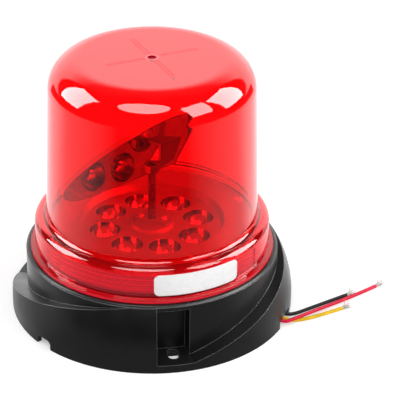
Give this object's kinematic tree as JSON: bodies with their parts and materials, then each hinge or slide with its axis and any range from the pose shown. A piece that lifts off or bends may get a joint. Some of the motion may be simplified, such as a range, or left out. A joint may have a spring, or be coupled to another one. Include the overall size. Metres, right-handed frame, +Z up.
{
  "type": "rotating beacon",
  "caption": "rotating warning beacon with a twist-off red domed lens, tilted mirror geared to a motor over a dish of light cups, ramped round base with bolt slots and bare-ended leads",
  "frame": {"origin": "centre of the base's underside, on the lens and spindle axis", "axes": "+Z up along the spindle, -Y towards the label side, +X to the side where the leads leave"},
  "size_m": [0.2217, 0.165, 0.1547],
  "materials": {
    "base_plastic": "moulded black plastic, satin",
    "seal_rubber": "black rubber",
    "red_lens": "clear red polycarbonate, polished",
    "label_white": "blank white sticker",
    "chassis_plate": "bare sheet",
    "zinc_screws": "zinc plated",
    "board_white": "white solder mask",
    "led_resin": "clear resin over yellow phosphor",
    "reflector_metal": "vacuum metallised plastic",
    "standoff_metal": "turned",
    "bearing_plastic": "acetal",
    "bearing_bronze": "sintered bronze",
    "washer_plastic": "nylon",
    "spindle_steel": "ground",
    "gear_plastic": "acetal",
    "motor_can": "plated can",
    "shaft_steel": "ground",
    "pinion_brass": "hobbed",
    "board_green": "green solder mask",
    "terminal_plastic": "moulded",
    "capacitor_can": "sleeved can",
    "inductor_ferrite": "ferrite",
    "grommet_rubber": "black rubber",
    "holder_plastic": "moulded",
    "mirror_face": "metallised plate",
    "wire_red": "PVC sleeve",
    "tinned_strands": "tinned copper",
    "wire_yellow": "PVC sleeve",
    "wire_black": "PVC sleeve"
  },
  "bodies": {
    "base": {"base_housing": "base_plastic", "lens_seal": "seal_rubber", "chassis_plate": "chassis_plate", "chassis_screws": "zinc_screws", "led_board": "board_white", "led_board_screws": "zinc_screws", "leds": "led_resin", "reflector": "reflector_metal", "reflector_standoffs": "standoff_metal", "reflector_screws": "zinc_screws", "upper_bearing": "bearing_plastic", "bearing_screws": "zinc_screws", "lower_bearing": "bearing_bronze", "thrust_washer": "washer_plastic", "drive_motor": "motor_can", "motor_screws": "zinc_screws", "driver_board": "board_green", "driver_board_screws": "zinc_screws", "terminal_block": "terminal_plastic", "driver_capacitors": "capacitor_can", "driver_inductor": "inductor_ferrite", "wire_grommet": "grommet_rubber", "lead_red": "wire_red", "strands_red": "tinned_strands", "lead_yellow": "wire_yellow", "strands_yellow": "tinned_strands", "lead_black": "wire_black", "strands_black": "tinned_strands"},
    "lens_body": {"lens": "red_lens", "label": "label_white"},
    "rotor": {"spindle": "spindle_steel", "spindle_gear": "gear_plastic", "mirror_holder": "holder_plastic", "mirror": "mirror_face", "mirror_screw": "zinc_screws"},
    "pinion": {"motor_shaft": "shaft_steel", "motor_pinion": "pinion_brass"}
  },
  "joints": [
    {"name": "mirror_spin", "type": "hinge", "parent": "base", "child": "rotor", "pos_m": [0, 0, 0.05], "axis": [0, 0, 1], "continuous": true},
    {"name": "pinion_spin", "type": "hinge", "parent": "base", "child": "pinion", "pos_m": [-0.02119, -0.01127, 0.02], "axis": [0, 0, 1], "continuous": true},
    {"name": "lens_twist", "type": "hinge", "parent": "base", "child": "lens_body", "pos_m": [0, 0, 0.045], "axis": [0, 0, 1], "range_deg": [0, 22]}
  ],
  "couplings": [
    {"joint": "pinion_spin", "follows": "mirror_spin", "ratio": -4}
  ]
}
